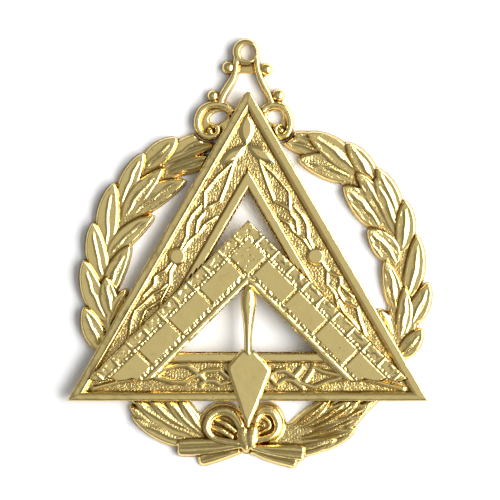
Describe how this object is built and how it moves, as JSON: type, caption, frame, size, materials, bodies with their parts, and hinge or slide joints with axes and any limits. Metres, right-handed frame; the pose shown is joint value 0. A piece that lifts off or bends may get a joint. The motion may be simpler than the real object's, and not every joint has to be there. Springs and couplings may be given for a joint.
{
  "type": "masonic collar jewel",
  "caption": "Gilt collar jewel: a triangle with a square and a trowel laid on a laurel wreath with a ribbon bow, under a scroll hanger.",
  "frame": {"origin": "centre of the hanging hole on the jewel's back plane", "axes": "+Z out of the jewel's front along the hanging hole, +Y up the jewel from the bow towards the hanger, +X to the right seen from the front"},
  "size_m": [0.0728, 0.0859, 0.0047],
  "materials": {
    "hanger_gilt": "gold plated, bright",
    "wreath_gilt": "gold plated, bright, cast",
    "triangle_gilt": "gold plated, plain rims and a stippled ground",
    "square_gilt": "gold plated, satin bricks",
    "trowel_gilt": "gold plated, satin blade"
  },
  "bodies": {
    "root": {"hanger": "hanger_gilt", "wreath": "wreath_gilt", "triangle": "triangle_gilt", "masons_square": "square_gilt", "trowel": "trowel_gilt"}
  },
  "joints": []
}
